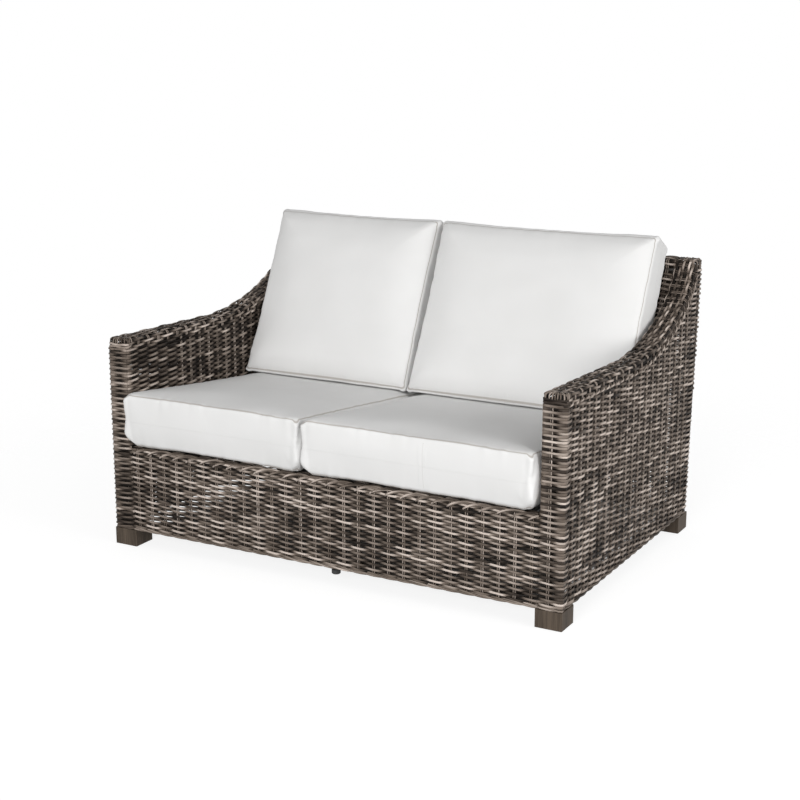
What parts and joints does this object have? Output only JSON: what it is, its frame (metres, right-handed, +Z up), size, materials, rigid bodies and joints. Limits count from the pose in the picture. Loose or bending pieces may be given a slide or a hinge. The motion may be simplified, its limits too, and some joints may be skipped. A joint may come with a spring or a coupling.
{
  "type": "loveseat",
  "caption": "Outdoor loveseat in grey-brown woven resin with low arms that sweep up to the back, braided edges, block feet and thick loose off-white seat and back cushions",
  "frame": {"origin": "on the floor, under the middle of the whole object's box", "axes": "+X across the seat towards a sitter's left hand, +Y from front to back, +Z up"},
  "size_m": [1.42, 1.035, 0.9],
  "materials": {
    "woven_resin": "twined round resin strands in mixed beige, taupe, grey-brown and charcoal, satin",
    "frame_aluminium": "dark brown powder coat on welded tube",
    "foot_wood": "brown-grey stained wood with upright grain, matt",
    "pad_nylon": "black nylon",
    "plated_steel": "zinc plated",
    "glide_rubber": "black moulded rubber",
    "cushion_fabric": "off-white plain weave outdoor cloth over soft filling, sewn boxed edges"
  },
  "bodies": {
    "casing": {"front_apron": "woven_resin", "front_rim": "woven_resin", "arm_front_left": "woven_resin", "arm_front_right": "woven_resin", "arm_outer_side_left": "woven_resin", "arm_outer_side_right": "woven_resin", "arm_inner_side_left": "woven_resin", "arm_inner_side_right": "woven_resin", "arm_cap_left": "woven_resin", "arm_cap_right": "woven_resin", "back_outer": "woven_resin", "back_inner": "woven_resin", "back_cap": "woven_resin", "base_rail_front": "frame_aluminium", "base_rail_back": "frame_aluminium", "base_rail_left": "frame_aluminium", "base_rail_right": "frame_aluminium", "front_post_outer_left": "frame_aluminium", "front_post_outer_right": "frame_aluminium", "front_post_inner_left": "frame_aluminium", "front_post_inner_right": "frame_aluminium", "back_post_outer_left": "frame_aluminium", "back_post_outer_right": "frame_aluminium", "back_post_inner_left": "frame_aluminium", "back_post_inner_right": "frame_aluminium", "back_stay_left": "frame_aluminium", "back_stay_right": "frame_aluminium", "back_stay_centre": "frame_aluminium", "seat_rail_front": "frame_aluminium", "seat_rail_back": "frame_aluminium", "seat_rail_left": "frame_aluminium", "seat_rail_right": "frame_aluminium", "arm_rail_outer_left": "frame_aluminium", "arm_rail_outer_right": "frame_aluminium", "arm_rail_inner_left": "frame_aluminium", "arm_rail_inner_right": "frame_aluminium", "back_top_rail": "frame_aluminium", "back_inner_rail": "frame_aluminium", "centre_post": "frame_aluminium", "seat_slats": "frame_aluminium", "foot_plates": "frame_aluminium", "foot_front_left": "foot_wood", "foot_front_right": "foot_wood", "foot_back_left": "foot_wood", "foot_back_right": "foot_wood", "foot_pad_front_left": "pad_nylon", "foot_pad_front_right": "pad_nylon", "foot_pad_back_left": "pad_nylon", "foot_pad_back_right": "pad_nylon", "foot_bolts": "plated_steel", "foot_nuts": "plated_steel", "glide_insert": "plated_steel", "glide_lock_nut": "plated_steel"},
    "glide": {"glide_stud": "plated_steel", "glide_pad": "glide_rubber"},
    "seat_left": {"seat_cushion_left": "cushion_fabric"},
    "seat_right": {"seat_cushion_right": "cushion_fabric"},
    "back_left": {"back_cushion_left": "cushion_fabric"},
    "back_right": {"back_cushion_right": "cushion_fabric"}
  },
  "joints": [
    {"name": "glide_screw", "type": "slide", "parent": "casing", "child": "glide", "axis": [0, 0, -1], "range_m": [0, 0.03]},
    {"name": "seat_left_slide", "type": "slide", "parent": "casing", "child": "seat_left", "axis": [0, -0.9974, 0.0715], "range_m": [0, 0.35]},
    {"name": "seat_right_slide", "type": "slide", "parent": "casing", "child": "seat_right", "axis": [0, -0.9974, 0.0715], "range_m": [0, 0.35]},
    {"name": "back_left_lift", "type": "slide", "parent": "casing", "child": "back_left", "axis": [0, 0, 1], "range_m": [0, 0.3]},
    {"name": "back_right_lift", "type": "slide", "parent": "casing", "child": "back_right", "axis": [0, 0, 1], "range_m": [0, 0.3]}
  ]
}
